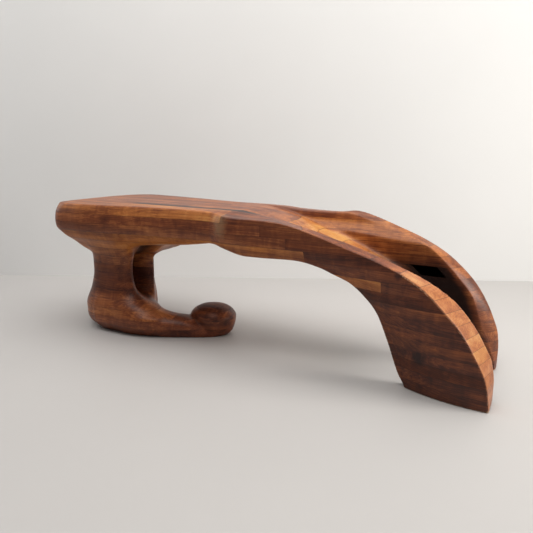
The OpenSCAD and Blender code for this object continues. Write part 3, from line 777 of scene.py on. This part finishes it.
def group(name, inputs, outputs):
    tree = bpy.data.node_groups.new(name, "ShaderNodeTree")
    for label, kind, value in inputs:
        socket = tree.interface.new_socket(name=label, in_out="INPUT", socket_type=kind)
        if value is not None:
            socket.default_value = value
    for label, kind in outputs:
        tree.interface.new_socket(name=label, in_out="OUTPUT", socket_type=kind)
    return tree, tree.nodes.new("NodeGroupInput").outputs, tree.nodes.new("NodeGroupOutput")


FLOAT, COLOUR = "NodeSocketFloat", "NodeSocketColor"

# %% Grain of one board
grain, given, result = group(
    "walnut grain",
    [("Streak Width", FLOAT, 1.0), ("Ring Width", FLOAT, 1.0)],
    [("Streak", FLOAT), ("Ring", FLOAT), ("Fibre", FLOAT), ("Pore", FLOAT), ("Ripple", FLOAT)])
place = add(grain, "ShaderNodeTexCoord").outputs["Object"]
shift = add(grain, "ShaderNodeAttribute", attribute_name="shift").outputs["Vector"]
tilt = add(grain, "ShaderNodeAttribute", attribute_name="tilt").outputs["Fac"]
turned = add(grain, "ShaderNodeVectorRotate", {0: place, 3: tilt}, rotation_type="Y_AXIS").outputs[0]
turned = add(grain, "ShaderNodeVectorRotate", {0: turned, 3: tilt}, rotation_type="Z_AXIS").outputs[0]
place = add(grain, "ShaderNodeVectorMath", {0: turned, 1: shift}, operation="ADD").outputs[0]


def stretched(scale, detail, rough, bend):
    at = add(grain, "ShaderNodeVectorMath", {0: place, 1: scale}, operation="MULTIPLY").outputs[0]
    links = {"Vector": at, "Scale": 1.0, "Detail": detail, "Roughness": rough, "Distortion": bend}
    return add(grain, "ShaderNodeTexNoise", links).outputs[0]


streak_wave = stretched((2.2, 17, 24), 4.0, 0.55, 0.7)
streak_fine = stretched((5.0, 60, 80), 3.0, 0.6, 0.3)
wide_part = maths(grain, "MULTIPLY", streak_wave, 0.68)
streak = maths(grain, "ADD", wide_part, maths(grain, "MULTIPLY", streak_fine, 0.32))
streak = maths(grain, "DIVIDE", maths(grain, "SUBTRACT", streak, 0.5), given["Streak Width"])
parts = add(grain, "ShaderNodeSeparateXYZ", {0: place}).outputs
warp = maths(grain, "MULTIPLY", maths(grain, "SUBTRACT", streak_wave, 0.5), 0.035)
squares = [maths(grain, "POWER", parts[i], 2.0) for i in (1, 2)]
from_pith = maths(grain, "SQRT", maths(grain, "ADD", *squares))
ring_at = maths(grain, "DIVIDE", maths(grain, "ADD", from_pith, warp), given["Ring Width"])
RINGS_PER_METRE = 190.0
ring = maths(grain, "FRACT", maths(grain, "MULTIPLY", ring_at, RINGS_PER_METRE))
ring = maths(grain, "POWER", ring, 2.0)
pore_noise = stretched((70, 1000, 1000), 1.0, 0.5, 0.0)
cross = stretched((34, 9, 9), 2.0, 0.5, 1.2)
for label, value in (
        ("Streak", maths(grain, "ADD", streak, 0.5)), ("Ring", ring),
        ("Fibre", stretched((11, 380, 380), 3.0, 0.62, 0.1)),
        ("Pore", spread(grain, pore_noise, 0.6, 0.72)), ("Ripple", cross)):
    grain.links.new(value, result.inputs[label])
print("grain group:", len(grain.nodes), "nodes")

# %% [markdown]
# ## Colour of the wood
#
# The tone is one number from purple-black through brown to honey. It adds up the board's own tone with its
# streaks, rings and fibres, and a colour ramp turns it into colour. Warmth then tips the hue towards
# orange or towards plum. Across the grain, and where faces turn towards the side light, the tone is paler:
# partly end grain, partly painted light. Two small knots sit in the face of the front fin.

# %% Tone to colour
PLUM, UMBER, BROWN = (0.024, 0.006, 0.004, 1), (0.085, 0.021, 0.009, 1), (0.215, 0.058, 0.019, 1)
ORANGE, HONEY = (0.46, 0.155, 0.045, 1), (0.60, 0.29, 0.10, 1)
KNOTS = ((0.443, -0.155, 0.302, 0.009), (0.497, -0.140, 0.095, 0.013))
END_GRAIN_AND_LIGHT_PALER, KNOT_DARKER, KNOT_WOBBLE = 0.27, 0.3, 0.012
colouring, given, result = group(
    "walnut colour",
    [("Tone Shift", FLOAT, 0.0), ("Contrast", FLOAT, 1.0), ("Streak", FLOAT, 0.5), ("Ring", FLOAT, 0.5),
     ("Fibre", FLOAT, 0.5), ("Ripple", FLOAT, 0.5)],
    [("Colour", COLOUR), ("Knot", FLOAT)])
tone = add(colouring, "ShaderNodeAttribute", attribute_name="tone").outputs["Fac"]
across = add(colouring, "ShaderNodeAttribute", attribute_name="end_grain_and_lit_side").outputs["Fac"]
warmth = add(colouring, "ShaderNodeAttribute", attribute_name="warmth").outputs["Fac"]
value = maths(colouring, "ADD", tone, given["Tone Shift"])
# Paler where this mask is high: partly end grain, partly painted light on faces turned towards the side
# light.
value = maths(colouring, "ADD", value, maths(colouring, "MULTIPLY", across, END_GRAIN_AND_LIGHT_PALER))
for label, weight in (("Streak", 1.3), ("Ring", 0.12), ("Fibre", 0.30), ("Ripple", 0.34)):
    part = maths(colouring, "MULTIPLY", maths(colouring, "SUBTRACT", given[label], 0.5), weight)
    value = maths(colouring, "ADD", value, maths(colouring, "MULTIPLY", part, given["Contrast"]))
place = add(colouring, "ShaderNodeTexCoord").outputs["Object"]
wobble = add(colouring, "ShaderNodeTexNoise", {"Vector": place, "Scale": 60.0, "Detail": 2.0}).outputs[1]
links = {0: wobble, 1: (KNOT_WOBBLE,) * 3, 2: place}
place = add(colouring, "ShaderNodeVectorMath", links, operation="MULTIPLY_ADD").outputs[0]
knot = None
for x, y, z, size in KNOTS:
    centre = tuple(at + KNOT_WOBBLE / 2 for at in (x, y, z))
    away = add(colouring, "ShaderNodeVectorMath", {0: place, 1: centre}, operation="DISTANCE")
    away = away.outputs["Value"]
    spot = spread(colouring, away, size * 0.3, size * 1.9, 1.0, 0.0)
    knot = spot if knot is None else maths(colouring, "MAXIMUM", knot, spot)
value = maths(colouring, "SUBTRACT", value, maths(colouring, "MULTIPLY", knot, KNOT_DARKER))
ramp = add(colouring, "ShaderNodeValToRGB", {0: value})
stops = ((0.02, PLUM), (0.26, UMBER), (0.47, BROWN), (0.72, ORANGE), (0.98, HONEY))
while len(ramp.color_ramp.elements) < len(stops):
    ramp.color_ramp.elements.new(0.5)
for element, (at, colour) in zip(ramp.color_ramp.elements, stops):
    element.position, element.color = at, colour
cool = blend_colour(colouring, "MULTIPLY", 1.0, ramp.outputs[0], (0.92, 0.86, 1.12, 1))
warm = blend_colour(colouring, "MULTIPLY", 1.0, ramp.outputs[0], (1.08, 1.1, 0.82, 1))
colouring.links.new(blend_colour(colouring, "MIX", warmth, cool, warm), result.inputs["Colour"])
colouring.links.new(knot, result.inputs["Knot"])
print("colour group:", len(colouring.nodes), "nodes")

# %% [markdown]
# ## Glue lines, wear on arrises, painted highlight and painted shade
#
# Five masks are shared by all the boards: a dark hair line at each glue joint, a lighter line along each
# arris that is partly wear of the finish and partly painted highlight, painted shade in the hollows, a
# pale spot on the shoulder that is partly wear where hands rest and partly painted sheen, and painted
# near-black shade in the deep places, between the fins and in the flute.

# %% Marks group
# A pale spot on the front of the shoulder, partly wear where hands rest and partly painted sheen where the
# shoulder catches the light.
SHEEN_PATCH_AT, SHEEN_PATCH_SIZE = (-0.056, -0.160, 0.384), (36.0, 28.0, 22.0)
marks, given, result = group(
    "bench marks and painted light",
    [("Line Width", FLOAT, 0.6), ("Edge Start", FLOAT, 0.22)],
    [("Glue Line", FLOAT), ("Worn Edge And Highlight", FLOAT), ("Hollow Shade", FLOAT), ("Wear And Sheen", FLOAT), ("Painted Deep Shade", FLOAT)])
joint = add(marks, "ShaderNodeAttribute", attribute_name="joint").outputs["Fac"]
edge_value = add(marks, "ShaderNodeAttribute", attribute_name="edge").outputs["Fac"]
# Depth between the fins and in the flute, for the painted near-black shade there.
deep_shade_depth = add(marks, "ShaderNodeAttribute", attribute_name="painted_deep_shade").outputs["Fac"]
line_core = maths(marks, "MULTIPLY", given["Line Width"], 0.2)
line = spread(marks, joint, line_core, given["Line Width"], 1.0, 0.0)
# Lighter line on the arrises: partly wear of the finish, partly painted highlight.
wear_and_highlight = spread(marks, edge_value, given["Edge Start"], maths(marks, "ADD", given["Edge Start"], 0.4))
place = add(marks, "ShaderNodeTexCoord").outputs["Object"]
wear_and_sheen_noise = add(marks, "ShaderNodeTexNoise", {"Vector": place, "Scale": 90.0, "Detail": 3.0}).outputs[0]
wear_and_highlight = maths(marks, "MULTIPLY", wear_and_highlight, spread(marks, wear_and_sheen_noise, 0.25, 0.6, 0.45, 1.0))
from_sheen_spot = add(marks, "ShaderNodeVectorMath", {0: place, 1: SHEEN_PATCH_AT}, operation="SUBTRACT")
links = {0: from_sheen_spot.outputs[0], 1: SHEEN_PATCH_SIZE}
from_sheen_spot = add(marks, "ShaderNodeVectorMath", links, operation="MULTIPLY").outputs[0]
from_sheen_spot = add(marks, "ShaderNodeVectorMath", {0: from_sheen_spot}, operation="LENGTH").outputs["Value"]
uneven = maths(marks, "ADD", from_sheen_spot, maths(marks, "SUBTRACT", wear_and_sheen_noise, 0.5))
wear_and_sheen = spread(marks, uneven, 0.2, 1.1, 1.0, 0.0)
# Painted shade: the hollow mask darkens concave places, and the deep mask paints the gap between the fins
# and the flute near-black.
for label, value in (
        ("Glue Line", line), ("Worn Edge And Highlight", wear_and_highlight), ("Hollow Shade", spread(marks, edge_value, -0.05, -0.4)),
        ("Wear And Sheen", wear_and_sheen), ("Painted Deep Shade", spread(marks, deep_shade_depth, 0.0, 24.0))):
    marks.links.new(value, result.inputs[label])
print("marks group:", len(marks.nodes), "nodes")

# %% [markdown]
# ## The three finishes
#
# The same oil is on every board, but the darker boards drink more of it and stay duller. Each
# finish places the three groups with its own values and gives them to one Principled BSDF,
# with a thin satin coat over the wood for the oil and wax.

# %% Build the finishes
# Near-black for glue lines and pores, which also paints the shade in the hollows and deep places; a pale
# tan for wear and painted highlight on the arrises; a pale brown for wear and painted sheen on the
# shoulder.
DARK_LINE_AND_SHADE_COLOUR, WEAR_AND_HIGHLIGHT_COLOUR = (0.012, 0.005, 0.004, 1), (0.72, 0.46, 0.28, 1)
WEAR_AND_SHEEN_COLOUR = (0.35, 0.2, 0.1, 1)


def walnut(name, tone_shift, contrast, streak_width, ring_width, coat, rough):
    material = bpy.data.materials.new(name)
    material.use_nodes = True
    tree = material.node_tree
    tree.nodes.clear()
    wood = add(tree, "ShaderNodeGroup", node_tree=grain)
    wood.inputs["Streak Width"].default_value = streak_width
    wood.inputs["Ring Width"].default_value = ring_width
    paint = add(tree, "ShaderNodeGroup", node_tree=colouring)
    paint.inputs["Tone Shift"].default_value = tone_shift
    paint.inputs["Contrast"].default_value = contrast
    for label in ("Streak", "Ring", "Fibre", "Ripple"):
        tree.links.new(wood.outputs[label], paint.inputs[label])
    mark = add(tree, "ShaderNodeGroup", node_tree=marks)
    colour = paint.outputs["Colour"]
    # Laid over the wood colour in turn: pores, the pale spot on the shoulder (wear and painted sheen),
    # painted shade in the hollows, the lighter arris line (wear and painted highlight), glue lines, and
    # painted near-black shade in the deep places.
    over = (
        (wood.outputs["Pore"], 0.4, DARK_LINE_AND_SHADE_COLOUR), (mark.outputs["Wear And Sheen"], 0.55, WEAR_AND_SHEEN_COLOUR),
        (mark.outputs["Hollow Shade"], 0.3, DARK_LINE_AND_SHADE_COLOUR), (mark.outputs["Worn Edge And Highlight"], 0.8, WEAR_AND_HIGHLIGHT_COLOUR),
        (mark.outputs["Glue Line"], 0.75, DARK_LINE_AND_SHADE_COLOUR), (mark.outputs["Painted Deep Shade"], 0.96, DARK_LINE_AND_SHADE_COLOUR))
    for mask, strength, laid in over:
        amount = maths(tree, "MULTIPLY", mask, strength)
        colour = blend_colour(tree, "MIX", amount, colour, laid)
    dull = spread(tree, wood.outputs["Fibre"], 0.3, 0.7, rough - 0.05, rough + 0.07)
    dull = maths(tree, "SUBTRACT", dull, maths(tree, "MULTIPLY", mark.outputs["Worn Edge And Highlight"], 0.12))
    height = maths(tree, "MULTIPLY", wood.outputs["Fibre"], 0.25)
    height = maths(tree, "SUBTRACT", height, maths(tree, "MULTIPLY", wood.outputs["Pore"], 0.6))
    height = maths(tree, "SUBTRACT", height, maths(tree, "MULTIPLY", mark.outputs["Glue Line"], 0.5))
    bump = add(tree, "ShaderNodeBump", {"Height": height, "Strength": 0.25, "Distance": 0.0006})
    shader = add(tree, "ShaderNodeBsdfPrincipled", {
        "Base Color": colour, "Roughness": dull, "Normal": bump.outputs[0], "IOR": 1.5,
        "Specular IOR Level": 0.27, "Coat Weight": coat, "Coat Roughness": 0.3, "Coat IOR": 1.45})
    add(tree, "ShaderNodeOutputMaterial", {0: shader.outputs[0]})
    return material


finishes = {
    "walnut_brown": walnut("walnut brown", 0.05, 1.0, 1.0, 1.0, 0.2, 0.44),
    "walnut_dark": walnut("walnut dark", 0.02, 0.9, 1.1, 0.8, 0.07, 0.5),
    "walnut_light": walnut("walnut light", 0.06, 0.85, 0.9, 1.2, 0.22, 0.42)}
for name, piece in pieces.items():
    piece.data.materials.clear()
    piece.data.materials.append(finishes[slot_of[name]])
print("finishes:", list(finishes))

# %% [markdown]
# ## Floor, wall and light
#
# The bench stands in a bright room. Only two plain surfaces are needed: a pale floor and a
# pale wall behind, which also give the oiled top its milky reflection. The wall lets itself be
# seen through from behind, so that the bench can be looked at from every side.

# %% Stage
def plain(name, colour, rough):
    material = bpy.data.materials.new(name)
    material.use_nodes = True
    tree = material.node_tree
    tree.nodes.clear()
    place = add(tree, "ShaderNodeTexCoord").outputs["Object"]
    noise = add(tree, "ShaderNodeTexNoise", {"Vector": place, "Scale": 3.0, "Detail": 3.0}).outputs[0]
    dark = tuple(c * 0.96 for c in colour[:3]) + (1,)
    mixed = blend_colour(tree, "MIX", noise, dark, colour)
    shader = add(tree, "ShaderNodeBsdfPrincipled", {"Base Color": mixed, "Roughness": rough})
    clear = add(tree, "ShaderNodeBsdfTransparent")
    behind = add(tree, "ShaderNodeNewGeometry").outputs["Backfacing"]
    both = add(tree, "ShaderNodeMixShader", {0: behind, 1: shader.outputs[0], 2: clear.outputs[0]})
    add(tree, "ShaderNodeOutputMaterial", {0: both.outputs[0]})
    return material


def flat_sheet(name, corners, material):
    mesh = bpy.data.meshes.new(name)
    mesh.from_pydata(corners, [], [(0, 1, 2, 3)])
    mesh.materials.append(material)
    sheet = bpy.data.objects.new(name, mesh)
    bpy.context.scene.collection.objects.link(sheet)
    return sheet


WALL_AWAY, ROOM = 2.42, 6.0
ahead = Vector((LOOK.x, LOOK.y, 0)).normalized()
across = Vector((ahead.y, -ahead.x, 0))
foot_of_wall = Vector((CAMERA_AT.x, CAMERA_AT.y, 0)) + ahead * WALL_AWAY
flat_sheet("floor", [(-ROOM, -ROOM, 0), (ROOM, -ROOM, 0), (ROOM, ROOM, 0), (-ROOM, ROOM, 0)],
           plain("pale floor", (0.52, 0.50, 0.485, 1), 0.55))
low_left, low_right = foot_of_wall - across * ROOM, foot_of_wall + across * ROOM
tall = Vector((0, 0, 3.2))
flat_sheet("wall", [low_left, low_right, low_right + tall, low_left + tall],
           plain("pale wall", (0.80, 0.795, 0.785, 1), 0.8))


def soft_light(name, at, aim, size, power, colour):
    data = bpy.data.lights.new(name, "AREA")
    data.shape, data.size, data.size_y = "RECTANGLE", size[0], size[1]
    data.energy, data.color = power, colour
    light = bpy.data.objects.new(name, data)
    bpy.context.scene.collection.objects.link(light)
    light.location = at
    light.rotation_euler = (Vector(aim) - Vector(at)).to_track_quat("-Z", "Y").to_euler()


soft_light("ceiling light", (0.3, -0.3, 2.7), (0.1, 0.0, 0.0), (3.0, 2.4), 70, (1.0, 0.99, 0.97))
soft_light("side light", (2.6, 0.35, 1.25), (0.35, 0.0, 0.25), (1.0, 1.3), 46, (1.0, 0.97, 0.92))
soft_light("window light", (-2.3, -0.2, 1.2), (-0.5, 0.1, 0.3), (1.2, 1.4), 16, (1.0, 1.0, 1.0))
world = bpy.data.worlds.new("room air")
world.use_nodes = True
world.node_tree.nodes["Background"].inputs[0].default_value = (1.0, 1.0, 1.0, 1)
world.node_tree.nodes["Background"].inputs[1].default_value = 0.15
bpy.context.scene.world = world
bpy.context.scene.view_settings.view_transform = "Standard"

# %% [markdown]
# ## The size of the drawing
#
# The carved bench is meant to fill the same box as the drawing. The box of the drawing is printed.

# %% Sizes and finish
print("drawn", [round(v, 3) for v in cad_low + cad_high])
